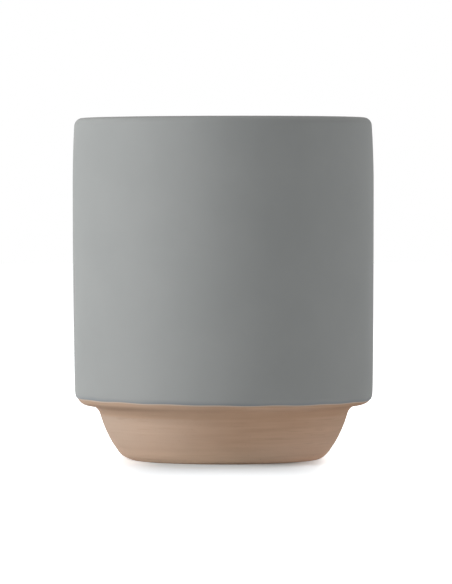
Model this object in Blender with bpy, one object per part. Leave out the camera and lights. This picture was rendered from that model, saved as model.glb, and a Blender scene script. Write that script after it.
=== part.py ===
"""A stackable stoneware mug: a turned clay vessel on a narrow foot, a dipped matt coat outside and a liner inside.

Metres, +Z up. The origin is the middle of the foot, on the table. The foot enters the bore of another mug's rim,
and the shoulder above the foot rests on that rim.
"""

import math

import bmesh
import bpy
from mathutils import Vector

# The seen outline, measured over the glaze
HEIGHT = 0.0907
RIM_RADIUS = 0.0394
BELLY_RADIUS = 0.0400
BELLY_HEIGHT = 0.0725
SHOULDER_RADIUS = 0.0396
SHOULDER_HEIGHT = 0.0143
SHOULDER_CORNER = 0.0034

# The clay wall and its lip
CLAY_WALL = 0.0030
LIP_OUTER_ROUND = 0.0016
LIP_INNER_ROUND = 0.0008

# The foot, smaller than the rim's bore by a clearance
STACK_CLEARANCE = 0.0016
NECK_FILLET = 0.0013
FOOT_TAPER = 0.0070
FOOT_BULGE = 0.0009
FOOT_CORNER = 0.0045
RING_WIDTH = 0.0045
RING_EDGE_ROUND = 0.0004
RECESS_DEPTH = 0.0020
RECESS_COVE = 0.0010

# The bowl inside
FLOOR_THICKNESS = 0.0050
FLOOR_RADIUS = 0.0120
BOWL_RISE = 0.0157

# The glaze coats, each a separate solid that keeps a clearance to the clay and to the other coat
GLAZE_THICKNESS = 0.0003
GLAZE_CLEARANCE = 0.0003
LIP_RETURN = 0.0040

# The dip line, where the outer coat ends on the shoulder's rounded corner
DIP_RISE = 0.0018
DIP_SLANT = 0.0004
DIP_RIPPLE = 0.0001
DIP_RIPPLES = 5

# Facets
AROUND = 52
ROUND_STEPS = 3
CORNER_STEPS = 5
WALL_STEPS = 6
BOWL_STEPS = 8

MERGE = 1e-6
SHARP_ANGLE = math.radians(50)

# Sizes that follow from those above
COAT = GLAZE_CLEARANCE + GLAZE_THICKNESS
LIP_TOP = HEIGHT - COAT
BORE_RADIUS = RIM_RADIUS - COAT - CLAY_WALL
NECK_RADIUS = BORE_RADIUS - COAT - STACK_CLEARANCE
HEEL_RADIUS = NECK_RADIUS - FOOT_TAPER
FLOOR_TOP = RECESS_DEPTH + FLOOR_THICKNESS
BOWL_TOP = SHOULDER_HEIGHT + BOWL_RISE
DIP_HEIGHT = SHOULDER_HEIGHT + DIP_RISE
COATS_MEET = LIP_TOP - LIP_RETURN


def point(radius, height):
    """A point of a turned outline."""
    return Vector((radius, height))


def fillet(before, corner, after, radius, steps):
    """Points that round the corner between two neighbours; the shorter side limits the radius."""
    back = (before - corner).normalized()
    ahead = (after - corner).normalized()
    half = back.angle(ahead) / 2
    shorter = min((before - corner).length, (after - corner).length)
    reach = min(radius / math.tan(half), shorter)
    centre = corner + (back + ahead).normalized() * (reach / math.cos(half))
    first = corner + back * reach - centre
    last = corner + ahead * reach - centre
    turn = first.angle_signed(last)
    return [centre + turned_by(first, turn * i / steps) for i in range(steps + 1)]


def turned_by(arm, angle):
    """An arm turned clockwise by an angle, which is the sense of Vector.angle_signed."""
    cosine, sine = math.cos(angle), math.sin(angle)
    return point(arm.x * cosine + arm.y * sine, arm.y * cosine - arm.x * sine)


def bulged(first, last, sagitta, steps):
    """Points of a shallow curve that bulges to the right of the way from first to last."""
    chord = last - first
    aside = point(chord.y, -chord.x).normalized()
    shares = [i / steps for i in range(steps + 1)]
    return [first + chord * t + aside * (4 * sagitta * t * (1 - t)) for t in shares]


def offset(path, distance):
    """A path moved by a distance to its right, each segment staying parallel."""
    ways = [(b - a).normalized() for a, b in zip(path, path[1:])]
    sides = [point(way.y, -way.x) for way in ways]
    moved = []
    for here, before, after in zip(path, [sides[0], *sides], [*sides, sides[-1]]):
        middle = (before + after).normalized()
        moved.append(here + middle * (distance / middle.dot(before)))
    return moved


def band(path, low, high):
    """The part of a path between two heights, with new ends exactly on them."""
    kept = []
    for a, b in zip(path, path[1:]):
        if low <= a.y <= high:
            kept.append(a)
        crossed = [height for height in (low, high) if (a.y - height) * (b.y - height) < 0]
        kept += sorted((a.lerp(b, (height - a.y) / (b.y - a.y)) for height in crossed), key=lambda p: (p - a).length)
    if low <= path[-1].y <= high:
        kept.append(path[-1])
    return kept


def wall_point(height, depth=0.0):
    """A point of the wall, at a depth into the clay: it swells from the shoulder and from the rim to the belly."""
    end = point(SHOULDER_RADIUS, SHOULDER_HEIGHT) if height < BELLY_HEIGHT else point(RIM_RADIUS, HEIGHT)
    share = (height - BELLY_HEIGHT) / (end.y - BELLY_HEIGHT)
    return point(BELLY_RADIUS + (end.x - BELLY_RADIUS) * share**2 - COAT - depth, height)


def wall_path(low, high, depth=0.0):
    """Points up the wall from one height to another."""
    return [wall_point(low + (high - low) * i / WALL_STEPS, depth) for i in range(WALL_STEPS + 1)]


def foot_path():
    """The turned foot: recess, ring, rounded corner and bulging side, up to the neck under the shoulder."""
    heel = point(HEEL_RADIUS, 0)
    neck = point(NECK_RADIUS, SHOULDER_HEIGHT)
    side = bulged(heel, neck, FOOT_BULGE, 2 * ROUND_STEPS)
    corner = fillet(point(0, 0), heel, side[2], FOOT_CORNER, CORNER_STEPS)
    ring = corner[0] - point(RING_WIDTH, 0)
    recess = ring + point(0, RECESS_DEPTH)
    cove = fillet(point(0, RECESS_DEPTH), recess, ring, RECESS_COVE, ROUND_STEPS)
    edge = fillet(ring.lerp(cove[-1], 0.5), ring, ring.lerp(corner[0], 0.5), RING_EDGE_ROUND, ROUND_STEPS)
    throat = fillet(side[-2], neck, wall_point(SHOULDER_HEIGHT), NECK_FILLET, ROUND_STEPS)
    return [point(0, RECESS_DEPTH), *cove, *edge, *corner, *side[2:-1], *throat]


def outside_path():
    """The clay outside, from the shoulder's flat underside round its corner and up the wall, below the lip."""
    above = wall_point(SHOULDER_HEIGHT + 2 * SHOULDER_CORNER)
    edge = wall_point(SHOULDER_HEIGHT)
    corner = fillet(point(NECK_RADIUS, SHOULDER_HEIGHT), edge, above, SHOULDER_CORNER, CORNER_STEPS)
    return [*corner, *wall_path(above.y, LIP_TOP - 2 * LIP_OUTER_ROUND)]


def lip_path():
    """The lip: outer round, narrow flat top and inner round."""
    outer = wall_point(LIP_TOP)
    inner = point(BORE_RADIUS, LIP_TOP)
    top = outer.lerp(inner, LIP_OUTER_ROUND / (LIP_OUTER_ROUND + LIP_INNER_ROUND))
    outer_below = wall_point(LIP_TOP - 2 * LIP_OUTER_ROUND)
    inner_below = wall_point(LIP_TOP - 2 * LIP_INNER_ROUND, CLAY_WALL)
    return [
        *fillet(outer_below, outer, top, LIP_OUTER_ROUND, CORNER_STEPS),
        *fillet(top, inner, inner_below, LIP_INNER_ROUND, ROUND_STEPS),
    ]


def inside_path():
    """The clay inside, from below the lip down the wall, round the bowl and onto the middle of the flat floor."""
    wall = wall_path(BOWL_TOP, LIP_TOP - 2 * LIP_INNER_ROUND, CLAY_WALL)
    reach = wall[0].x - FLOOR_RADIUS
    depth = BOWL_TOP - FLOOR_TOP
    turns = [math.pi / 2 * i / BOWL_STEPS for i in range(1, BOWL_STEPS + 1)]
    bowl = [point(FLOOR_RADIUS + reach * math.cos(t), BOWL_TOP - depth * math.sin(t)) for t in turns]
    return [*reversed(wall), *bowl, point(0, FLOOR_TOP)]


def dip_wave(angle):
    """How far the dip line rises at an angle round the mug: a slant from the dip, with shallow ripples on it."""
    return -DIP_SLANT * math.cos(angle) + DIP_RIPPLE * math.sin(DIP_RIPPLES * angle)


def turn(outline, closed, edge=(), along=None):
    """The mesh of an outline turned round +Z, with its edge points moved along a direction by the dip line's wave."""
    bm = bmesh.new()
    on_edge = bm.verts.layers.float.new("edge")
    verts = [bm.verts.new((p.x, 0, p.y)) for p in outline]
    for index in edge:
        verts[index][on_edge] = 1
    pairs = list(zip(verts, verts[1:]))
    if closed:
        pairs.append((verts[-1], verts[0]))
    edges = [bm.edges.new(pair) for pair in pairs]
    bmesh.ops.spin(
        bm, geom=verts + edges, cent=(0, 0, 0), axis=(0, 0, 1), angle=math.tau, steps=AROUND, use_merge=True
    )
    bmesh.ops.remove_doubles(bm, verts=bm.verts, dist=MERGE)
    for vert in bm.verts:
        if vert[on_edge] < 0.5:
            continue
        angle = math.atan2(vert.co.y, vert.co.x)
        step = Vector((math.cos(angle) * along.x, math.sin(angle) * along.x, along.y))
        vert.co += step * dip_wave(angle)
    bmesh.ops.recalc_face_normals(bm, faces=bm.faces)
    bm.verts.layers.float.remove(on_edge)
    mesh = bpy.data.meshes.new("turned")
    bm.to_mesh(mesh)
    bm.free()
    mesh.shade_smooth()
    mesh.set_sharp_from_angle(angle=SHARP_ANGLE)
    return mesh


def coat_ends(path, near, far):
    """The blunt tips of a coat's two ends, half the coat's thickness past the path's own ends."""
    start = (path[0] - path[1]).normalized() * GLAZE_THICKNESS / 2
    finish = (path[-1] - path[-2]).normalized() * GLAZE_THICKNESS / 2
    return (near[0] + far[0]) / 2 + start, (near[-1] + far[-1]) / 2 + finish


def clay_mesh():
    """The fired vessel: its outline starts and ends on the axis, under the foot and on the floor."""
    return turn([*foot_path(), *outside_path(), *lip_path(), *inside_path()], closed=False)


def outer_coat_mesh():
    """The dipped coat: from the dip line on the shoulder's corner, up the wall, over the lip and a little inside."""
    dipped = band(outside_path(), DIP_HEIGHT, HEIGHT)
    clear = 3 * (DIP_SLANT + DIP_RIPPLE)
    dipped = [dipped[0], *(p for p in dipped[1:] if (p - dipped[0]).length > clear)]
    path = [*dipped, *lip_path(), *band(inside_path(), COATS_MEET, HEIGHT)]
    near = offset(path, GLAZE_CLEARANCE)
    far = offset(path, COAT)
    start, finish = coat_ends(path, near, far)
    outline = [start, *near, finish, *reversed(far)]
    return turn(outline, closed=True, edge=(0, 1, -1), along=(path[1] - path[0]).normalized())


def liner_mesh():
    """The liner: from just below the outer coat's end down to the middle of the floor."""
    path = band(inside_path(), FLOOR_TOP, COATS_MEET - GLAZE_CLEARANCE - GLAZE_THICKNESS)
    near = offset(path, GLAZE_CLEARANCE)
    far = offset(path, COAT)
    start, _ = coat_ends(path, near, far)
    return turn([*reversed(near), start, *far], closed=False)


def surface(name, colour, roughness):
    """A plain surface material."""
    material = bpy.data.materials.new(name)
    material.use_nodes = True
    shader = material.node_tree.nodes["Principled BSDF"]
    shader.inputs["Base Color"].default_value = (*colour, 1)
    shader.inputs["Roughness"].default_value = roughness
    shader.inputs["Metallic"].default_value = 0
    material.diffuse_color = (*colour, 1)
    return material


def place(name, mesh, material, parent):
    """An object of the mug, at the shared origin."""
    mesh.name = name
    mesh.materials.append(material)
    made = bpy.data.objects.new(name, mesh)
    made.parent = parent
    bpy.context.scene.collection.objects.link(made)


def main():
    """Clears the scene and builds the mug."""
    for old in list(bpy.data.objects):
        bpy.data.objects.remove(old)
    mug = bpy.data.objects.new("mug", None)
    bpy.context.scene.collection.objects.link(mug)
    place("stoneware_body", clay_mesh(), surface("bare_clay", (0.55, 0.35, 0.24), 0.85), mug)
    place("outer_glaze", outer_coat_mesh(), surface("matt_grey_glaze", (0.315, 0.325, 0.32), 0.7), mug)
    place("liner_glaze", liner_mesh(), surface("liner_glaze", (0.37, 0.38, 0.37), 0.35), mug)


main()
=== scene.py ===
"""The looks of a stackable stoneware mug: bare turned foot, matt coat outside, satin liner inside.

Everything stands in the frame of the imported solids: +Z up, the origin in the middle of the foot, on the
table. Lengths are metres in the shapes and millimetres in the finishes.
"""

import logging
import math
from collections.abc import Callable
from dataclasses import dataclass
from enum import Enum

import bpy
import numpy as np
from mathutils import Euler, Matrix, Vector

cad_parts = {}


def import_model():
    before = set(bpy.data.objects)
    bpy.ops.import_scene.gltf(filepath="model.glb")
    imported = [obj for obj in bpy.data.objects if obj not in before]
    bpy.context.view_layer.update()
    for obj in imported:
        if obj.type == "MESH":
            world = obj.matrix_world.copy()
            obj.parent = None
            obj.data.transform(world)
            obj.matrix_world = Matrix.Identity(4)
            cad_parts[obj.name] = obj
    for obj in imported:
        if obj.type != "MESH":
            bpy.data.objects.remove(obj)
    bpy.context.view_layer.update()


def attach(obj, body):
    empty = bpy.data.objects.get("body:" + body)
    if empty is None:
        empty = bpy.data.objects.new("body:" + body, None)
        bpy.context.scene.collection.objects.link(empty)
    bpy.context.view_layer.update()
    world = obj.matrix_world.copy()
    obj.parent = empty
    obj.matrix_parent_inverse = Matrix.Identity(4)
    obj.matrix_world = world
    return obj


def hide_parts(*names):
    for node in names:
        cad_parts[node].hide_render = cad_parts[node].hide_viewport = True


MM = 0.001
LOG = logging.getLogger("mug")


class Body(Enum):
    """The rigid bodies that a piece can ride on."""

    MUG = "root"


class Slot(Enum):
    """The record's material slots."""

    CLAY = "bare_stoneware"
    COAT = "matt_grey_glaze"
    LINER = "liner_glaze"


class Axis(Enum):
    """The frame's directions, by the names that shader nodes give them."""

    ACROSS = "X"
    BACK = "Y"
    UP = "Z"


class Path:
    """An outline to be turned, in the plane of radius and height, with its solid on its left."""

    def __init__(self, points: list[Vector]) -> None:
        """Keeps the points, each a radius and a height in metres."""
        self.points = points

    def __add__(self, other: "Path") -> "Path":
        """This path followed by another, which goes on from its end."""
        return Path(self.points + other.points)

    def distances(self) -> list[float]:
        """How far along the path each point lies, in metres."""
        steps = [(b - a).length for a, b in zip(self.points, self.points[1:])]
        return [0.0, *np.cumsum(steps).tolist()]

    def tangents(self) -> list[Vector]:
        """The path's direction at each point."""
        ways = [(b - a).normalized() for a, b in zip(self.points, self.points[1:])]
        return [(a + b).normalized() for a, b in zip([ways[0], *ways], [*ways, ways[-1]])]

    def moved(self, by: Callable[[float], float]) -> "Path":
        """The path moved away from its solid, by a length that goes with the distance along it."""
        rows = zip(self.points, self.tangents(), self.distances())
        return Path([p + Vector((way.y, -way.x)) * by(s) for p, way, s in rows])

    def refined(self, step: float) -> "Path":
        """The path with points added on its longer stretches.

        Args:
            step: the longest stretch that stays, in metres.

        Returns:
            The finer path.
        """
        fine = [self.points[0]]
        for a, b in zip(self.points, self.points[1:]):
            count = max(1, math.ceil((b - a).length / step))
            fine += [a.lerp(b, i / count) for i in range(1, count + 1)]
        return Path(fine)

    def band(self, low: float, high: float) -> "Path":
        """The part of the path between two heights, with new ends exactly on them.

        Args:
            low: the lower height.
            high: the upper height.

        Returns:
            The part that lies between them.
        """
        kept = []
        for a, b in zip(self.points, self.points[1:]):
            if low <= a.y <= high:
                kept.append(a)
            cuts = [(h - a.y) / (b.y - a.y) for h in (low, high) if (a.y - h) * (b.y - h) < 0]
            kept += [a.lerp(b, share) for share in sorted(cuts)]
        if low <= self.points[-1].y <= high:
            kept.append(self.points[-1])
        return Path(kept)

    def reversed(self) -> "Path":
        """The same path the other way."""
        return Path(self.points[::-1])


def rounded(before: Vector, corner: Vector, after: Vector, radius: float, steps: int) -> Path:
    """Rounds the corner between two neighbours.

    Args:
        before: the point that the path comes from.
        corner: the sharp corner.
        after: the point that the path goes to.
        radius: the radius of the round.
        steps: how many stretches the round has.

    Returns:
        The round, from the first tangent point to the second.
    """
    back = (before - corner).normalized()
    ahead = (after - corner).normalized()
    half = back.angle(ahead) / 2
    reach = min(radius / math.tan(half), (before - corner).length, (after - corner).length)
    centre = corner + (back + ahead).normalized() * (reach / math.cos(half))
    first = corner + back * reach - centre
    turn = -first.angle_signed(corner + ahead * reach - centre)
    points = []
    for i in range(steps + 1):
        cosine, sine = math.cos(turn * i / steps), math.sin(turn * i / steps)
        arm = Vector((first.x * cosine - first.y * sine, first.x * sine + first.y * cosine))
        points.append(centre + arm)
    return Path(points)


@dataclass(frozen=True)
class MugShape:
    """The mug's sizes and the outlines of its clay, which follow from them.

    The wall's radii and the mug's height are those that the eye sees, with the glaze on. The clay lies
    one thickness of glaze inside them.
    """

    # Wall and shoulder. The gap is left between the corner's round and the first point of the wall.
    height: float = 90.7 * MM
    rim_radius: float = 39.4 * MM
    belly_radius: float = 40.0 * MM
    belly_height: float = 72.5 * MM
    shoulder_radius: float = 39.6 * MM
    shoulder_height: float = 14.3 * MM
    shoulder_lift: float = 0.26 * MM
    shoulder_corner: float = 3.15 * MM
    corner_gap: float = 0.5 * MM
    wall: float = 3.6 * MM
    glaze: float = 0.3 * MM
    # Lip. The room that a round has on the wall is given in its radii.
    lip_outer_round: float = 1.9 * MM
    lip_inner_round: float = 1.1 * MM
    lip_room: float = 1.5
    # Foot. A join is the number of the point of the foot's side, from below, where a round may end.
    neck_radius: float = 33.55 * MM
    neck_fillet: float = 3.2 * MM
    neck_join: int = 19
    heel_radius: float = 26.65 * MM
    heel_round: float = 5.8 * MM
    heel_ground: float = 0.25 * MM
    heel_join: int = 8
    foot_bulge: float = 0.9 * MM
    ring_width: float = 4.5 * MM
    ring_edge_round: float = 0.5 * MM
    recess_depth: float = 2.0 * MM
    recess_cove: float = 1.2 * MM
    # Bowl and floor.
    floor_height: float = 7.0 * MM
    floor_radius: float = 12.0 * MM
    bowl_top: float = 30.0 * MM
    # Where the coat begins above the shoulder's underside, and how far it comes down inside the lip.
    dip_rise: float = 1.8 * MM
    lip_return: float = 4.0 * MM
    # Waves of the dip line: how many go round the mug, how high they rise and their turn in radians.
    dip_waves: tuple[tuple[int, float, float], ...] = (
        (1, 0.44 * MM, -1.37),
        (3, 0.07 * MM, 2.44),
        (11, 0.03 * MM, 2.4),
        (17, 0.08 * MM, -2.77),
    )
    # Turned edges off centre: their height, how far from it that fades, and their shift to the right.
    off_centre: tuple[tuple[float, float, float], ...] = (
        (15.5 * MM, 1.1 * MM, 0.19 * MM),
        (0.0, 0.7 * MM, 0.33 * MM),
    )
    # A wall barely off round, as shares of its radius, and leaning about a share of its height.
    oval: float = 0.0012
    oval_turn: float = 0.8
    lobes: float = 0.0008
    lobes_twist: float = 9.0
    lean: float = 0.06 * MM
    lean_pivot: float = 0.3
    # How many stretches each curve has.
    outside_steps: int = 32
    inside_steps: int = 24
    bowl_steps: int = 24
    side_steps: int = 24
    corner_steps: int = 20
    heel_steps: int = 18
    neck_steps: int = 12
    lip_outer_steps: int = 16
    lip_inner_steps: int = 12
    cove_steps: int = 8
    ring_edge_steps: int = 6

    @property
    def lip_top(self) -> float:
        """Height of the clay under the glaze of the lip."""
        return self.height - self.glaze

    @property
    def dip_height(self) -> float:
        """Height of the dip line on the shoulder's corner."""
        return self.shoulder_height + self.dip_rise

    def below_lip(self, radius: float) -> float:
        """The height where the wall ends and leaves room for a round of the lip of this radius."""
        return self.lip_top - self.lip_room * radius

    def wall_point(self, height: float, depth: float = 0.0) -> Vector:
        """A point of the wall's clay, which swells from the shoulder and from the rim to the belly.

        Args:
            height: the height on the wall.
            depth: the depth into the clay.

        Returns:
            Its radius and height.
        """
        below = height < self.belly_height
        end_radius = self.shoulder_radius if below else self.rim_radius
        end_height = self.shoulder_height if below else self.height
        share = (height - self.belly_height) / (end_height - self.belly_height)
        radius = self.belly_radius + (end_radius - self.belly_radius) * share**2
        return Vector((radius - self.glaze - depth, height))

    def wall_path(self, low: float, high: float, depth: float, steps: int) -> Path:
        """The wall's clay from one height up to another, at a depth into it, in so many stretches."""
        return Path([self.wall_point(low + (high - low) * i / steps, depth) for i in range(steps + 1)])

    def underside(self) -> Path:
        """The recess under the foot, the ring's inner edge and its flat.

        Returns:
            The path, from the axis outwards.
        """
        heel = self.heel().points[0]
        ring = heel - Vector((self.ring_width, 0))
        middle = Vector((0, self.recess_depth))
        recess = ring + middle
        cove = rounded(middle, recess, ring, self.recess_cove, self.cove_steps)
        edge = rounded(recess, ring, heel, self.ring_edge_round, self.ring_edge_steps)
        return Path([middle]) + cove + edge

    def side(self) -> Path:
        """The foot's bulging side, sharp at both ends.

        Returns:
            The path, going up.
        """
        heel = Vector((self.heel_radius, 0))
        chord = Vector((self.neck_radius, self.shoulder_height)) - heel
        aside = Vector((chord.y, -chord.x)).normalized()
        shares = [i / self.side_steps for i in range(self.side_steps + 1)]
        return Path([heel + chord * t + aside * (4 * self.foot_bulge * t * (1 - t)) for t in shares])

    def heel(self) -> Path:
        """The foot's rounded lower corner, ground flat underneath.

        Returns:
            The path, from the ground edge up to the foot's side.
        """
        side = self.side().points
        end = side[self.heel_join]
        corner = end.lerp(side[0], 1 + self.heel_ground / end.y)
        level = Vector((0, corner.y))
        whole = rounded(level, corner, end, self.heel_round, self.heel_steps)
        return whole.band(0.0, self.shoulder_height)

    def foot(self) -> Path:
        """The foot's side and the fillet of its neck.

        Returns:
            The path, from the heel's round up to the shoulder's underside.
        """
        side = self.side().points
        start = side[self.neck_join]
        neck = rounded(start, side[-1], self.shoulder_edge(), self.neck_fillet, self.neck_steps)
        return Path(side[self.heel_join : self.neck_join]) + neck

    def shoulder_edge(self) -> Vector:
        """The shoulder's sharp outer corner, to which its underside rises a little from the neck."""
        return self.wall_point(self.shoulder_height + self.shoulder_lift)

    def shoulder(self) -> Path:
        """The shoulder's rounded corner.

        Returns:
            The path, from the shoulder's underside to the wall.
        """
        above = self.wall_point(self.shoulder_height + 2 * self.shoulder_corner)
        neck = Vector((self.neck_radius, self.shoulder_height))
        return rounded(neck, self.shoulder_edge(), above, self.shoulder_corner, self.corner_steps)

    def outside(self) -> Path:
        """The clay outside.

        Returns:
            The path, from the shoulder's corner up to below the lip.
        """
        corner = self.shoulder()
        low = corner.points[-1].y + self.corner_gap
        return corner + self.wall_path(low, self.below_lip(self.lip_outer_round), 0.0, self.outside_steps)

    def lip(self) -> Path:
        """The lip: outer round, narrow flat and inner round.

        Returns:
            The path, from outside to inside.
        """
        outer = self.wall_point(self.lip_top)
        inner = self.wall_point(self.lip_top, self.wall)
        top = outer.lerp(inner, self.lip_outer_round / (self.lip_outer_round + self.lip_inner_round))
        outer_below = self.wall_point(self.below_lip(self.lip_outer_round))
        inner_below = self.wall_point(self.below_lip(self.lip_inner_round), self.wall)
        outer_round = rounded(outer_below, outer, top, self.lip_outer_round, self.lip_outer_steps)
        inner_round = rounded(top, inner, inner_below, self.lip_inner_round, self.lip_inner_steps)
        return outer_round + inner_round

    def inside(self) -> Path:
        """The clay inside.

        Returns:
            The path, from below the lip down the wall and the bowl to the middle of the floor.
        """
        top = self.below_lip(self.lip_inner_round)
        wall = self.wall_path(self.bowl_top, top, self.wall, self.inside_steps)
        reach = wall.points[0].x - self.floor_radius
        depth = self.bowl_top - self.floor_height
        bowl = []
        for i in range(1, self.bowl_steps + 1):
            turn = math.pi / 2 * i / self.bowl_steps
            radius = self.floor_radius + reach * math.cos(turn)
            bowl.append(Vector((radius, self.bowl_top - depth * math.sin(turn))))
        return wall.reversed() + Path([*bowl, Vector((0, self.floor_height))])

    def dip_wave(self, angle: np.ndarray) -> np.ndarray:
        """The dip line's rise in metres at each angle: a slant from the dip, with shallow ripples."""
        return sum(size * np.sin(count * angle + turn) for count, size, turn in self.dip_waves)

    def thrown(self, points: np.ndarray) -> np.ndarray:
        """The mug's slight unevenness from wheel and kiln: off round, leaning, with edges off centre.

        Args:
            points: places on or in the mug, one row each.

        Returns:
            The same places, moved sideways by a fraction of a millimetre.
        """
        x, y, z = points.T
        angle = np.arctan2(y, x)
        share = np.clip(z / self.height, 0, 1)
        oval = self.oval * share * np.sin(2 * angle + self.oval_turn)
        lobes = self.lobes * share * np.sin(3 * angle + self.lobes_twist * share)
        swell = 1 + oval + lobes
        lean = self.lean * (self.lean_pivot - share)
        aside = sum(size * np.exp(-(((z - at) / reach) ** 2)) for at, reach, size in self.off_centre)
        return np.stack([x * swell + lean + aside, y * swell, z], axis=1)


@dataclass(frozen=True)
class Outline:
    """A closed or axis-to-axis outline, with what each of its rings carries.

    Attributes:
        path: the outline.
        above_dip: millimetres above the dip line, along the surface.
        slides: the way that each ring goes with the dip line's wave, as long as its share of it.
    """

    path: Path
    above_dip: list[float]
    slides: list[Vector]


@dataclass(frozen=True)
class Lathe:
    """Turns an outline round +Z, as on a wheel: a point is drawn out along it in edit mode, then spun.

    Attributes:
        shape: the mug's shape, whose wave and unevenness every turned piece shares.
        around: how many steps go round the mug.
        merge: how near two points are that become one, where the turn closes and on the axis.
    """

    shape: MugShape
    around: int = 192
    merge: float = 0.001 * MM

    def turn(self, name: str, outline: Outline) -> bpy.types.Object:
        """Makes a turned piece.

        Args:
            name: the piece's name.
            outline: what is turned.

        Returns:
            The piece, with its place in its mesh.
        """
        points = outline.path.points
        bpy.ops.object.select_all(action="DESELECT")
        bpy.ops.mesh.primitive_plane_add(size=MM, location=(points[0].x, 0, points[0].y))
        piece = bpy.context.object
        piece.name = name
        piece.data.name = name
        bpy.ops.object.transform_apply(location=True)
        bpy.ops.object.mode_set(mode="EDIT")
        bpy.ops.mesh.select_mode(type="VERT")
        bpy.ops.mesh.merge(type="CENTER")
        for a, b in zip(points, points[1:]):
            step = b - a
            bpy.ops.mesh.extrude_vertices_move(TRANSFORM_OT_translate={"value": (step.x, 0, step.y)})
        bpy.ops.object.mode_set(mode="OBJECT")
        self._remember(piece.data, outline)
        bpy.ops.object.mode_set(mode="EDIT")
        bpy.ops.mesh.select_all(action="SELECT")
        bpy.ops.mesh.spin(steps=self.around, angle=math.tau, center=(0, 0, 0), axis=(0, 0, 1))
        bpy.ops.mesh.select_all(action="SELECT")
        bpy.ops.mesh.remove_doubles(threshold=self.merge)
        bpy.ops.mesh.normals_make_consistent(inside=False)
        bpy.ops.object.mode_set(mode="OBJECT")
        self._settle(piece.data)
        bpy.ops.object.shade_smooth()
        return piece

    def _remember(self, mesh: bpy.types.Mesh, outline: Outline) -> None:
        """Writes on the outline's points what their rings carry.

        Args:
            mesh: the outline as a chain of points, in its order.
            outline: what is turned.
        """
        marks = mesh.attributes.new("above_dip", "FLOAT", "POINT")
        marks.data.foreach_set("value", outline.above_dip)
        slide = mesh.attributes.new("slide", "FLOAT_VECTOR", "POINT")
        slide.data.foreach_set("vector", np.ravel([(way.x, 0.0, way.y) for way in outline.slides]))

    def _rows(self, data: bpy.types.bpy_prop_collection, key: str, width: int) -> np.ndarray:
        """Reads one value of each of a mesh's points.

        Args:
            data: the points, or an attribute's data on them.
            key: the value's name.
            width: how many numbers it has.

        Returns:
            The numbers, one row for each point.
        """
        rows = np.empty(len(data) * width)
        data.foreach_get(key, rows)
        return rows.reshape(-1, width)

    def _settle(self, mesh: bpy.types.Mesh) -> None:
        """Gives the turned mesh the dip line's wave and the mug's unevenness.

        A ring that slides with the wave keeps its mark. A still ring's mark changes as the wave passes.

        Args:
            mesh: the turned mesh.
        """
        above_dip = mesh.attributes["above_dip"].data
        places = self._rows(mesh.vertices, "co", 3)
        slides = self._rows(mesh.attributes["slide"].data, "vector", 3)
        marks = self._rows(above_dip, "value", 1)[:, 0]
        angle = np.arctan2(places[:, 1], places[:, 0])
        wave = self.shape.dip_wave(angle)
        places[:, 0] += slides[:, 0] * np.cos(angle) * wave
        places[:, 1] += slides[:, 0] * np.sin(angle) * wave
        places[:, 2] += slides[:, 2] * wave
        marks -= (1 - np.linalg.norm(slides, axis=1)) * wave / MM
        mesh.vertices.foreach_set("co", self.shape.thrown(places).ravel())
        above_dip.foreach_set("value", marks)
        mesh.attributes.remove(mesh.attributes["slide"])
        mesh.update()


class Signal:
    """A shader socket's value, which Python's arithmetic turns into Math nodes."""

    def __init__(self, recipe: "Recipe", socket: bpy.types.NodeSocket) -> None:
        """Keeps an output socket and the recipe that it belongs to."""
        self.recipe = recipe
        self.socket = socket

    def _maths(self, operation: str, first: "Signal | float", second: "Signal | float") -> "Signal":
        """One Math node on two values."""
        return self.recipe.node("ShaderNodeMath", {"operation": operation}, {0: first, 1: second})

    def __add__(self, other: "Signal | float") -> "Signal":
        """The sum."""
        return self._maths("ADD", self, other)

    def __radd__(self, other: float) -> "Signal":
        """The sum, with a number in front."""
        return self._maths("ADD", other, self)

    def __sub__(self, other: "Signal | float") -> "Signal":
        """The difference."""
        return self._maths("SUBTRACT", self, other)

    def __rsub__(self, other: float) -> "Signal":
        """The difference, with a number in front."""
        return self._maths("SUBTRACT", other, self)

    def __mul__(self, other: "Signal | float") -> "Signal":
        """The product."""
        return self._maths("MULTIPLY", self, other)

    def __rmul__(self, other: float) -> "Signal":
        """The product, with a number in front."""
        return self._maths("MULTIPLY", other, self)

    def __rpow__(self, other: float) -> "Signal":
        """A number to the power of this."""
        return self._maths("POWER", other, self)

    def at_least(self, other: "Signal | float") -> "Signal":
        """The larger of the two."""
        return self._maths("MAXIMUM", self, other)


Colour = tuple[float, float, float]
Value = Signal | float | Colour


@dataclass(frozen=True)
class Clouds:
    """A pattern of soft uneven patches.

    Attributes:
        size: the patches' size in millimetres.
        detail: how many finer layers they have.
        level: a factor for the two level axes, which below 1 draws the patches out round the mug.
        fineness: how strong each finer layer is.
    """

    size: float
    detail: float = 3.0
    level: float = 1.0
    fineness: float = 0.55


@dataclass(frozen=True)
class Fade:
    """A soft edge along some measure.

    Attributes:
        none: the measure at which it is still 0.
        full: the measure at which it is 1, which may be the smaller of the two.
        ragged: how far patches push the edge to and fro, in the same measure.
    """

    none: float
    full: float
    ragged: float = 0.0


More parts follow.
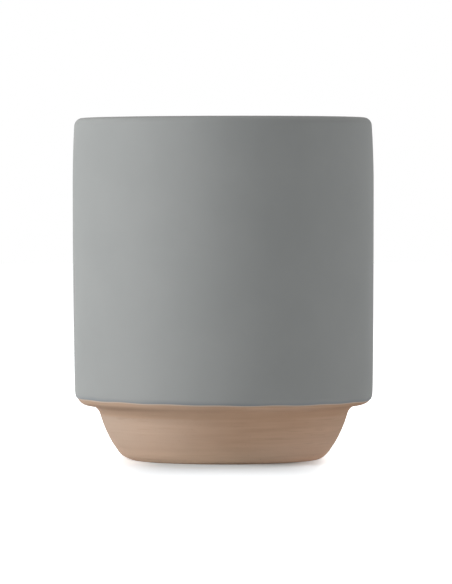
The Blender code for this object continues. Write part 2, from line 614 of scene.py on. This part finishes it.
class Recipe:
    """The nodes of a material or a world, written as expressions on signals."""

    def __init__(self, owner: bpy.types.Material | bpy.types.World) -> None:
        """Turns the owner's nodes on.

        Args:
            owner: the material or world whose nodes are written.
        """
        self.owner = owner
        owner.use_nodes = True
        self.tree = owner.node_tree

    def node(
        self,
        kind: str,
        settings: dict[str, str],
        sockets: dict[str | int, Value],
        output: str | int = 0,
    ) -> Signal:
        """Adds a node.

        Args:
            kind: the node's type.
            settings: its own settings, set first.
            sockets: a value or a signal for each input, by name or place.
            output: the output that is wanted, by name or place.

        Returns:
            That output's signal.
        """
        made = self.tree.nodes.new(kind)
        for key, setting in settings.items():
            setattr(made, key, setting)
        for key, value in sockets.items():
            self.feed(made.inputs[key], value)
        return Signal(self, made.outputs[output])

    def feed(self, socket: bpy.types.NodeSocket, value: Value) -> None:
        """Sets or links an input.

        Args:
            socket: the input.
            value: a number, a colour, a vector or a signal.
        """
        if isinstance(value, Signal):
            self.tree.links.new(value.socket, socket)
        elif isinstance(value, tuple) and socket.type == "RGBA":
            socket.default_value = (*value, 1.0)
        else:
            socket.default_value = value

    def place(self, level: float = 1.0) -> Signal:
        """The place on the object in millimetres.

        Args:
            level: a factor for the two level axes.

        Returns:
            A vector signal.
        """
        here = self.node("ShaderNodeTexCoord", {}, {}, "Object")
        scale = (level / MM, level / MM, 1 / MM)
        return self.node("ShaderNodeVectorMath", {"operation": "MULTIPLY"}, {0: here, 1: scale})

    def along(self, axis: Axis) -> Signal:
        """The place along one axis in millimetres."""
        return self.node("ShaderNodeSeparateXYZ", {}, {0: self.place()}, axis.value)

    def above_dip(self) -> Signal:
        """The millimetres above the dip line, negative on the bare clay under it."""
        return self.node("ShaderNodeAttribute", {"attribute_name": "above_dip"}, {}, "Fac")

    def clouds(self, kind: Clouds) -> Signal:
        """Soft uneven patches: a signal from 0 to 1, about 0.5 on average."""
        look = {"Scale": 1 / kind.size, "Detail": kind.detail, "Roughness": kind.fineness}
        return self.node("ShaderNodeTexNoise", {}, {"Vector": self.place(kind.level), **look})

    def fade(self, measure: Signal, edge: Fade, patches: Signal | None = None) -> Signal:
        """A smooth step over a soft edge.

        Args:
            measure: what the edge lies along.
            edge: the edge.
            patches: the patches that push it to and fro, if any do.

        Returns:
            A signal from 0 to 1.
        """
        if patches is not None:
            measure = measure + edge.ragged * (patches - 0.5)
        limits = {1: edge.none, 2: edge.full}
        if edge.full < edge.none:
            limits = {1: edge.full, 2: edge.none, 3: 1.0, 4: 0.0}
        settings = {"interpolation_type": "SMOOTHSTEP"}
        return self.node("ShaderNodeMapRange", settings, {0: measure, **limits})

    def blend(self, share: Value, first: Value, second: Value) -> Signal:
        """A mix of two colours, with a share from 0 to 1 of the second."""
        return self.node("ShaderNodeMix", {"data_type": "RGBA"}, {0: share, 6: first, 7: second}, 2)

    def relief(self, height: Signal, depth: float) -> Signal:
        """The normal of a relief whose height goes from 0 to 1, with a depth in millimetres."""
        sockets = {"Strength": 1.0, "Distance": depth * MM, "Height": height}
        return self.node("ShaderNodeBump", {}, sockets, "Normal")

    def seen(self) -> Signal:
        """What only eyes and reflections see.

        Returns:
            1 for the camera and for what reflects or lets through, 0 for the light that falls on the mug.
        """
        rays = ("Is Camera Ray", "Is Glossy Ray", "Is Transmission Ray")
        eye, mirror, through = (self.node("ShaderNodeLightPath", {}, {}, ray) for ray in rays)
        return eye + mirror + through

    def finish(self, sockets: dict[str, Value]) -> bpy.types.Material:
        """Feeds the material's surface.

        Args:
            sockets: what each input of the Principled surface gets.

        Returns:
            The finished material.
        """
        for name, value in sockets.items():
            self.feed(self.tree.nodes["Principled BSDF"].inputs[name], value)
        return self.owner


@dataclass(frozen=True)
class Finish:
    """What a piece's surface looks like."""

    def material(self, name: str) -> bpy.types.Material:
        """The finish as a material of this name."""
        recipe = Recipe(bpy.data.materials.new(name))
        return recipe.finish(self.surface(recipe))

    def surface(self, recipe: Recipe) -> dict[str, Value]:
        """A value for each input of the Principled surface that isn't left as it comes."""
        raise NotImplementedError


@dataclass(frozen=True)
class BareStoneware(Finish):
    """Fired clay without glaze: warm, dry, streaked by turning, pale where the glaze drew back.

    A fade whose name ends in across lies along the photograph's left and right. The tone, scratch and
    speck fades follow a pattern, the pale one the depth under the dip line, and the others the height.
    """

    # Tones of the fired clay, streaked and patchy, and a greyer one on the left that is painted sheen.
    light: Colour = (0.61, 0.406, 0.28)
    dark: Colour = (0.48, 0.306, 0.205)
    patchy: float = 0.38
    tone_fade: Fade = Fade(0.25, 0.75)
    painted_sheen: Colour = (0.512, 0.386, 0.3)
    painted_sheen_across: Fade = Fade(12.0, -32.0, 12.0)
    # Painted shade: a deeper tone under the shoulder, and a darker band under it on the left.
    shoulder_shade: Colour = (0.5, 0.325, 0.215)
    shoulder_shade_share: float = 0.3
    shoulder_shade_left: float = 0.2
    open_fade: Fade = Fade(12.4, 11.6, 0.4)
    under_top: Fade = Fade(15.5, 15.0)
    under_foot: Fade = Fade(13.4, 14.3)
    painted_shade: Colour = (0.3, 0.2, 0.14)
    painted_shade_share: float = 0.4
    painted_shade_across: Fade = Fade(-12.0, -30.0)
    # Painted bounce light on the lower part, less so on the left.
    painted_bounce: Colour = (0.64, 0.46, 0.335)
    painted_bounce_fade: Fade = Fade(6.5, 0.2, 0.8)
    painted_bounce_loss: float = 0.8
    # Painted bounce light on the right: the heel in full, the side above it and the band under the
    # shoulder faintly.
    painted_right_light: Colour = (0.77, 0.555, 0.42)
    heel_fade: Fade = Fade(11.0, 1.0, 3.0)
    heel_across: Fade = Fade(0.0, 26.0)
    side_share: float = 0.28
    side_across: Fade = Fade(16.0, 30.0)
    under_share: float = 0.24
    under_from_across: Fade = Fade(2.0, 12.0)
    under_to_across: Fade = Fade(32.0, 20.0)
    # Painted light on the edge that the mug stands on, against its contact shade, higher and stronger on
    # the right.
    painted_heel_light: Colour = (0.92, 0.66, 0.5)
    painted_heel_light_fade: Fade = Fade(1.0, 0.15, 0.2)
    painted_heel_light_across: Fade = Fade(-4.0, 20.0)
    painted_heel_light_rise: float = 0.55
    painted_heel_light_left: float = 0.4
    # Dark scratches and specks, and the pale line under the glaze's edge.
    grog: Colour = (0.4, 0.26, 0.18)
    mark_share: float = 0.2
    scratch_fade: Fade = Fade(0.6, 0.74)
    speck_fade: Fade = Fade(0.68, 0.76)
    pale: Colour = (0.62, 0.53, 0.45)
    pale_share: float = 0.75
    pale_fade: Fade = Fade(0.595, 0.195, 0.25)
    # Patterns.
    patches: Clouds = Clouds(14.0)
    streaks: Clouds = Clouds(1.5, 2.0, 0.05)
    scratches: Clouds = Clouds(0.6, 1.0, 0.06)
    specks: Clouds = Clouds(0.7, 1.0)
    grain: Clouds = Clouds(0.35, 2.0)
    # Shine and relief.
    roughness: float = 0.8
    roughness_spread: float = 0.15
    specular: float = 0.2
    grain_relief: float = 0.6
    streak_relief: float = 1.6
    relief_depth: float = 0.014

    def surface(self, recipe: Recipe) -> dict[str, Value]:
        """Writes the look: fired tones with painted sheen and shade, then painted light, then marks.

        Args:
            recipe: the material that is being written.

        Returns:
            A value for each input that it sets.
        """
        across, height = recipe.along(Axis.ACROSS), recipe.along(Axis.UP)
        patches, streaks = recipe.clouds(self.patches), recipe.clouds(self.streaks)
        grain = recipe.clouds(self.grain)
        painted_sheen = recipe.fade(across, self.painted_sheen_across, patches)
        open_side = recipe.fade(height, self.open_fade, patches)
        under = recipe.fade(height, self.under_top) * recipe.fade(height, self.under_foot)

        tone = recipe.fade(self.patchy * patches + (1 - self.patchy) * streaks, self.tone_fade)
        colour = recipe.blend(tone, self.dark, self.light)
        # Painted sheen: the lit left side greyer and paler.
        colour = recipe.blend(painted_sheen, colour, self.painted_sheen)
        # Painted shade under the shoulder, more on the left, and a darker band of it there.
        under_shoulder_shade = (1 - open_side) * (self.shoulder_shade_share + self.shoulder_shade_left * painted_sheen)
        colour = recipe.blend(under_shoulder_shade, colour, self.shoulder_shade)
        painted_shade_mask = self.painted_shade_share * under * recipe.fade(across, self.painted_shade_across)
        colour = recipe.blend(painted_shade_mask, colour, self.painted_shade)

        # Painted bounce light on the lower part, less on the left.
        painted_bounce = recipe.fade(height, self.painted_bounce_fade, patches) * (1.0 - self.painted_bounce_loss * painted_sheen)
        colour = recipe.blend(painted_bounce, colour, self.painted_bounce)
        # Painted bounce light on the right: the heel, the side above it and the band under the shoulder.
        heel = recipe.fade(height, self.heel_fade, patches)
        side = self.side_share * recipe.fade(across, self.side_across) * open_side * (1 - heel)
        band = self.under_share * under * recipe.fade(across, self.under_from_across)
        band = band * recipe.fade(across, self.under_to_across)
        right_light_share = recipe.fade(across, self.heel_across) * heel + side + band
        colour = recipe.blend(right_light_share, colour, self.painted_right_light)
        # Painted light on the edge that the mug stands on, against its contact shade.
        right = recipe.fade(across, self.painted_heel_light_across)
        painted_heel_light = recipe.fade(height * (1.0 - self.painted_heel_light_rise * right), self.painted_heel_light_fade, patches)
        painted_heel_light = painted_heel_light * (self.painted_heel_light_left + (1 - self.painted_heel_light_left) * right)
        colour = recipe.blend(painted_heel_light, colour, self.painted_heel_light)

        for kind, edge in ((self.scratches, self.scratch_fade), (self.specks, self.speck_fade)):
            marks = self.mark_share * recipe.fade(recipe.clouds(kind), edge)
            colour = recipe.blend(marks, colour, self.grog)
        line = self.pale_share * recipe.fade(-1.0 * recipe.above_dip(), self.pale_fade, patches)
        colour = recipe.blend(line, colour, self.pale)
        relief = self.grain_relief * grain + self.streak_relief * streaks
        return {
            "Base Color": colour,
            "Roughness": self.roughness + self.roughness_spread * grain,
            "Specular IOR Level": self.specular,
            "Normal": recipe.relief(relief, self.relief_depth),
        }


@dataclass(frozen=True)
class MattGlaze(Finish):
    """The dipped coat: matt grey, bluer and darker where it gathers at the dip line, darker on the lip.

    The gathered fade lies along the distance above the dip line and the lip one along the height.
    """

    tone: Colour = (0.309, 0.319, 0.314)
    cloudy: Colour = (0.321, 0.33, 0.325)
    cloudy_fade: Fade = Fade(0.3, 0.7)
    gathered: Colour = (0.24, 0.262, 0.282)
    gathered_share: float = 0.7
    gathered_fade: Fade = Fade(1.3, 0.0, 1.2)
    # A darker tone on the lip's top.
    lip_dark: Colour = (0.25, 0.245, 0.235)
    lip_dark_share: float = 0.4
    lip_dark_fade: Fade = Fade(90.0, 90.6, 0.5)
    patches: Clouds = Clouds(18.0)
    skin: Clouds = Clouds(0.8)
    roughness: float = 0.68
    roughness_spread: float = 0.1
    specular: float = 0.25
    relief_depth: float = 0.004

    def surface(self, recipe: Recipe) -> dict[str, Value]:
        """Writes the look.

        Args:
            recipe: the material that is being written.

        Returns:
            A value for each input that it sets.
        """
        patches, skin = recipe.clouds(self.patches), recipe.clouds(self.skin)
        colour = recipe.blend(recipe.fade(patches, self.cloudy_fade), self.tone, self.cloudy)
        gathered = self.gathered_share * recipe.fade(recipe.above_dip(), self.gathered_fade, patches)
        colour = recipe.blend(gathered, colour, self.gathered)
        lip_dark = self.lip_dark_share * recipe.fade(recipe.along(Axis.UP), self.lip_dark_fade, patches)
        colour = recipe.blend(lip_dark, colour, self.lip_dark)
        return {
            "Base Color": colour,
            "Roughness": self.roughness + self.roughness_spread * skin,
            "Specular IOR Level": self.specular,
            "Normal": recipe.relief(skin, self.relief_depth),
        }


@dataclass(frozen=True)
class LinerGlaze(Finish):
    """The poured liner: the same grey a shade lighter, satin, deeper where it pools on the floor."""

    tone: Colour = (0.36, 0.37, 0.362)
    cloudy: Colour = (0.385, 0.392, 0.383)
    cloudy_fade: Fade = Fade(0.3, 0.7)
    pooled: Colour = (0.27, 0.285, 0.285)
    pooled_share: float = 0.7
    pooled_fade: Fade = Fade(14.0, 7.0, 3.0)
    patches: Clouds = Clouds(16.0)
    skin: Clouds = Clouds(1.4, 2.0)
    roughness: float = 0.28
    roughness_spread: float = 0.1
    specular: float = 0.5
    relief_depth: float = 0.004

    def surface(self, recipe: Recipe) -> dict[str, Value]:
        """Writes the look.

        Args:
            recipe: the material that is being written.

        Returns:
            A value for each input that it sets.
        """
        patches, skin = recipe.clouds(self.patches), recipe.clouds(self.skin)
        colour = recipe.blend(recipe.fade(patches, self.cloudy_fade), self.tone, self.cloudy)
        pooled = self.pooled_share * recipe.fade(recipe.along(Axis.UP), self.pooled_fade, patches)
        colour = recipe.blend(pooled, colour, self.pooled)
        return {
            "Base Color": colour,
            "Roughness": self.roughness + self.roughness_spread * patches,
            "Specular IOR Level": self.specular,
            "Normal": recipe.relief(skin, self.relief_depth),
        }


@dataclass
class Piece:
    """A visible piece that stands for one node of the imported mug."""

    shape: MugShape
    lathe: Lathe
    name: str
    node: str
    slot: Slot
    finish: Finish
    body: Body = Body.MUG

    def outline(self) -> Outline:
        """The outline that is turned."""
        raise NotImplementedError

    def make(self) -> bpy.types.Object:
        """Builds the piece, dresses it and ties it to its body, node and slot.

        Returns:
            The finished piece.
        """
        piece = self.lathe.turn(self.name, self.outline())
        piece.data.materials.append(self.finish.material(self.slot.value))
        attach(piece, self.body.value)
        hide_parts(self.node)
        LOG.info("%s: %d faces, stands for %s", self.name, len(piece.data.polygons), self.node)
        return piece


@dataclass
class ClayVessel(Piece):
    """The fired vessel, in one piece of clay: recess, foot ring, foot, shoulder, wall, lip and bowl."""

    name: str = "turned_clay_vessel"
    node: str = "stoneware_body"
    slot: Slot = Slot.CLAY
    finish: Finish = BareStoneware()
    # Rings that the turning tool left: their height, and for each kind its share, pace and turn, in
    # radians along a millimetre and in radians. They fade out over a stretch at each end of the foot.
    ripple: float = 0.008 * MM
    rings: tuple[tuple[float, float, float], ...] = ((1.0, 5.6, 0.0), (0.8, 3.1, 1.0), (0.6, 8.3, 2.0))
    fade_low: float = 2 * MM
    fade_high: float = 3 * MM
    step: float = 0.22 * MM

    def outline(self) -> Outline:
        """The vessel's outline.

        Returns:
            The outline, from the middle of the underside round to the middle of the floor.
        """
        shape = self.shape
        turned = (shape.heel() + shape.foot()).refined(self.step)
        length = turned.distances()[-1]
        foot = turned.moved(lambda s: self._tool_mark(s, length))
        path = shape.underside() + foot + shape.outside() + shape.lip() + shape.inside()
        dip = self._dip_distance(path)
        still = [Vector((0, 0))] * len(path.points)
        return Outline(path, [(s - dip) / MM for s in path.distances()], still)

    def _tool_mark(self, along: float, length: float) -> float:
        """The turning tool's marks on the foot: shallow uneven rings that fade out at both ends.

        Args:
            along: distance along the foot.
            length: the foot's whole length.

        Returns:
            How far the clay stands out there.
        """
        rings = sum(share * math.sin(pace * along / MM + turn) for share, pace, turn in self.rings)
        fade = min(1.0, along / self.fade_low, (length - along) / self.fade_high)
        return self.ripple * rings * max(0.0, fade)

    def _dip_distance(self, path: Path) -> float:
        """How far along the vessel's outline the dip line lies, in metres."""
        rows = zip(path.points, path.distances())
        return next(s for p, s in rows if p.y > self.shape.dip_height and p.x > self.shape.neck_radius)


@dataclass
class DippedCoat(Piece):
    """The outer coat: from its rolled edge at the dip line up the wall and over the lip."""

    name: str = "dipped_grey_coat"
    node: str = "outer_glaze"
    slot: Slot = Slot.COAT
    finish: Finish = MattGlaze()
    # The back's depth in the clay. The rolled edge's width. The share of its depth that the coat has at
    # its edges, and the stretch over which it grows to all of it. How far up it follows the dip line.
    sunk: float = 0.05 * MM
    edge_width: float = 0.16 * MM
    edge_share: float = 0.42
    thinning: float = 2.6 * MM
    follow: float = 4.0 * MM
    # Point spacing, with a finer band above the dip line and the height where the wall's own goes on.
    step: float = 0.4 * MM
    fine_step: float = 0.06 * MM
    fine_band: float = 1.2 * MM
    wall_start: float = 1.25 * MM

    def outline(self) -> Outline:
        """The coat's closed outline.

        Returns:
            The outline, with the face first and the hidden back after it.
        """
        shape = self.shape
        outside = shape.outside()
        edge = outside.refined(self.step).band(shape.dip_height, shape.dip_height + self.fine_band)
        high = outside.band(shape.dip_height + self.wall_start, shape.height)
        within = shape.inside().band(shape.lip_top - shape.lip_return, shape.height)
        path = edge.refined(self.fine_step) + high + shape.lip() + within.refined(self.step)
        along = path.distances()
        face = path.moved(lambda s: self._depth(s, along[-1]))
        back = path.moved(lambda s: -self.sunk)
        closed = face + back.reversed() + Path([face.points[0]])
        slides = [way * max(0.0, 1 - s / self.follow) for way, s in zip(path.tangents(), along)]
        above = [s / MM for s in (*along, *reversed(along), along[0])]
        return Outline(closed, above, [*slides, *reversed(slides), slides[0]])

    def _depth(self, along: float, length: float) -> float:
        """The coat's depth over the clay, which thins towards both edges and is rolled down at them.

        Args:
            along: distance from the dip line.
            length: the coat's whole length.

        Returns:
            Its depth in metres.
        """
        near = min(along, length - along)
        roll = math.sqrt(max(0.0, 1 - (1 - min(near / self.edge_width, 1.0)) ** 2))
        fade = min(near / self.thinning, 1.0)
        share = self.edge_share + (1 - self.edge_share) * fade * fade * (3 - 2 * fade)
        return self.shape.glaze * share * roll


@dataclass
class PouredLiner(Piece):
    """The liner: from under the coat's inner edge down the wall and over the floor."""

    name: str = "poured_liner"
    node: str = "liner_glaze"
    slot: Slot = Slot.LINER
    finish: Finish = LinerGlaze()
    # The back's depth in the clay, the face's over it, how far the top goes up behind the coat's inner
    # edge, and the point spacing.
    sunk: float = 0.05 * MM
    depth: float = 0.16 * MM
    tucked: float = 1.5 * MM
    step: float = 2.0 * MM

    def outline(self) -> Outline:
        """The liner's outline.

        Returns:
            The outline, from the axis up the back and down the face to the axis.
        """
        shape = self.shape
        top = shape.lip_top - shape.lip_return + self.tucked
        path = shape.inside().band(shape.floor_height, top).refined(self.step)
        face = path.moved(lambda s: self.depth)
        back = path.moved(lambda s: -self.sunk)
        whole = back.reversed() + face
        count = len(whole.points)
        return Outline(whole, [shape.height / MM] * count, [Vector((0, 0))] * count)


@dataclass(frozen=True)
class Softbox:
    """A large soft lamp that faces the mug.

    Azimuth runs from the camera's side to the right and elevation from level, both in degrees. Lengths
    are in metres and power is in watts.
    """

    name: str
    azimuth: float
    elevation: float
    distance: float
    width: float
    height: float
    power: float

    def place(self, aim: Vector) -> None:
        """Adds the lamp.

        Args:
            aim: the point that it faces.
        """
        turn, rise = math.radians(self.azimuth), math.radians(self.elevation)
        level, up = math.cos(rise), math.sin(rise)
        way = Vector((math.sin(turn) * level, -math.cos(turn) * level, up))
        lamp = bpy.data.lights.new(self.name, "AREA")
        lamp.shape = "RECTANGLE"
        lamp.size = self.width
        lamp.size_y = self.height
        lamp.energy = self.power
        holder = bpy.data.objects.new(self.name, lamp)
        holder.location = aim + way * self.distance
        holder.rotation_euler = (-way).to_track_quat("-Z", "Y").to_euler()
        holder.visible_camera = False
        bpy.context.scene.collection.objects.link(holder)


@dataclass(frozen=True)
class Studio:
    """White floor and surroundings, soft lamps and the camera at the photograph's angle."""

    shape: MugShape
    white: Colour = (1.0, 1.0, 1.0)
    black: Colour = (0.0, 0.0, 0.0)
    ambient: float = 0.04
    # Floor: half its width in metres, its colour far from the mug and near it, and where they meet.
    floor_half: float = 3.0
    # Both tones are bluish, more so near the mug, to cancel the clay's warm bounce light.
    floor_tone: Colour = (0.91, 0.925, 0.94)
    floor_near: Colour = (0.855, 0.925, 0.96)
    near_fade: Fade = Fade(55.0, 30.0)
    # The floor's glow: where it starts and over what reach it grows. Its distances from the middle are
    # stretched: sideways by the cube, more so past the foot's right side, and behind the mug.
    glow_start: float = 30.0
    glow_reach: float = 84.0
    glow_sideways: float = 0.0046
    foot_side: float = 23.5
    glow_past_foot: float = 6.0
    glow_behind: float = 5.0
    # Camera: metres from the mug's middle, degrees above it and of roll, then its lens and sensor.
    distance: float = 1.2
    elevation: float = 1.3
    roll: float = 0.14
    lens: float = 277.9
    sensor: float = 36.0
    shift_x: float = 0.0043
    shift_y: float = -0.0063
    boxes: tuple[Softbox, ...] = (
        Softbox("left_key", -85, 14, 1.1, 0.35, 0.75, 3.2),
        Softbox("left_second", -65, 14, 1.1, 0.35, 0.75, 3.7),
        Softbox("left_high", -65, 30, 1.1, 0.4, 0.4, 3.1),
        Softbox("front_high", -20, 30, 1.1, 0.4, 0.4, 0.75),
        Softbox("front_low", 0, 4, 1.3, 0.3, 0.2, 1.6),
        Softbox("right_front", 80, 3.5, 1.1, 0.4, 0.22, 0.7),
        Softbox("right_low", 95, 3.5, 1.1, 0.4, 0.22, 2.2),
        Softbox("back_left", -135, 45, 1.1, 0.5, 0.5, 1.5),
        Softbox("back_right", 135, 45, 1.1, 0.5, 0.5, 1.5),
        Softbox("overhead", 0, 90, 1.1, 0.8, 0.8, 2.0),
    )

    def build(self) -> None:
        """Adds floor, surroundings, lamps and camera."""
        self._floor()
        self._surroundings()
        middle = Vector((0, 0, self.shape.height / 2))
        for box in self.boxes:
            box.place(middle)
        self._camera(middle)
        bpy.context.scene.view_settings.view_transform = "Standard"

    def _floor(self) -> None:
        """The pale floor: lit by the lamps, with a glow that only eyes and reflections see."""
        bpy.ops.object.select_all(action="DESELECT")
        bpy.ops.mesh.primitive_plane_add(size=2 * self.floor_half, location=(0, 0, 0))
        floor = bpy.context.object
        floor.name = "studio_floor"
        recipe = Recipe(bpy.data.materials.new("studio_floor"))
        away = self._away(recipe)
        start = math.exp(self.glow_start / self.glow_reach)
        fading = start * math.exp(-1 / self.glow_reach) ** away
        glow = recipe.blend(1 - fading, self.black, self.white)
        near = recipe.fade(away, self.near_fade)
        surface = {
            "Base Color": recipe.blend(near, self.floor_tone, self.floor_near),
            "Roughness": 1.0,
            "Specular IOR Level": 0.0,
            "Emission Color": recipe.blend(recipe.seen(), self.black, glow),
            "Emission Strength": 1.0,
        }
        floor.data.materials.append(recipe.finish(surface))

    def _away(self, recipe: Recipe) -> Signal:
        """The floor's stretched distance from its middle in millimetres.

        Args:
            recipe: the floor's material.

        Returns:
            The signal.
        """
        across, back = recipe.along(Axis.ACROSS), recipe.along(Axis.BACK)
        past = (across - self.foot_side).at_least(0.0)
        sideways = self.glow_sideways * across * across * across + self.glow_past_foot * past * past
        depth = (-1.0 * back).at_least(self.glow_behind * back)
        both = recipe.node("ShaderNodeCombineXYZ", {}, {0: sideways, 1: depth})
        return recipe.node("ShaderNodeVectorMath", {"operation": "LENGTH"}, {0: both}, "Value")

    def _surroundings(self) -> None:
        """White surroundings to the eye and in reflections, and an even dim light on the mug."""
        world = bpy.data.worlds.new("studio")
        bpy.context.scene.world = world
        recipe = Recipe(world)
        dim = recipe.node("ShaderNodeBackground", {}, {"Color": self.white, "Strength": self.ambient})
        bright = recipe.node("ShaderNodeBackground", {}, {"Color": self.white, "Strength": 1.0})
        both = recipe.node("ShaderNodeMixShader", {}, {0: recipe.seen(), 1: dim, 2: bright})
        recipe.feed(recipe.tree.nodes["World Output"].inputs["Surface"], both)

    def _camera(self, middle: Vector) -> None:
        """The camera, a long lens a little above the mug's middle.

        Args:
            middle: the point that it looks at.
        """
        rise = math.radians(self.elevation)
        data = bpy.data.cameras.new("photo_camera")
        data.lens = self.lens
        data.sensor_width = self.sensor
        data.shift_x = self.shift_x
        data.shift_y = self.shift_y
        camera = bpy.data.objects.new("photo_camera", data)
        camera.location = middle + Vector((0, -math.cos(rise), math.sin(rise))) * self.distance
        level = Euler((math.pi / 2 - rise, 0, 0)).to_matrix()
        camera.rotation_euler = (level @ Matrix.Rotation(math.radians(-self.roll), 3, "Z")).to_euler()
        bpy.context.scene.collection.objects.link(camera)
        bpy.context.scene.camera = camera


def main() -> None:
    """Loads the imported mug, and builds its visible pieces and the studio."""
    logging.basicConfig(level=logging.INFO, format="%(message)s")
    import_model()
    shape = MugShape()
    lathe = Lathe(shape)
    for kind in (ClayVessel, DippedCoat, PouredLiner):
        kind(shape, lathe).make()
    Studio(shape).build()


if __name__ == "__main__":
    main()
